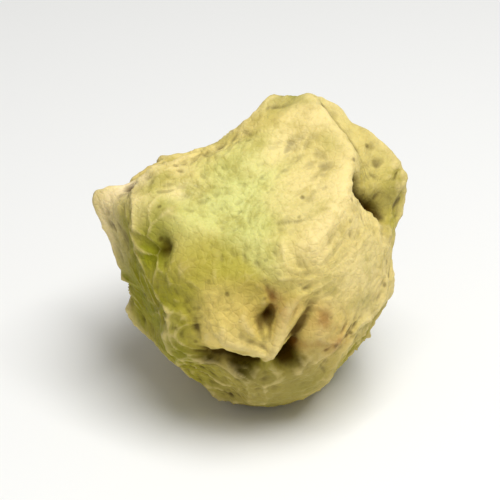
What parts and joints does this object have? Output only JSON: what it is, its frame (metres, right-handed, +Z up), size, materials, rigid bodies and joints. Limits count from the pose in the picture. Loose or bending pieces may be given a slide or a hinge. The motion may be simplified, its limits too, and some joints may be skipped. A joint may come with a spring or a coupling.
{
  "type": "dried green peppercorn",
  "caption": "One shrivelled dried green peppercorn: a round berry with broad dents, crisp folds, a puckered tip and a sunken stalk scar, at rest on a small flat spot.",
  "frame": {"origin": "on the surface that it rests on, under the middle of its bounding box", "axes": "+Z up; -Y towards the side that the picture shows, with the puckered tip low on it; +X to the right of that view; the stalk scar is at the back, +Y"},
  "size_m": [0.0064, 0.0062, 0.006],
  "materials": {
    "dried_skin": "dull waxy dried fruit skin, green to straw"
  },
  "bodies": {
    "root": {"peppercorn": "dried_skin"}
  },
  "joints": []
}
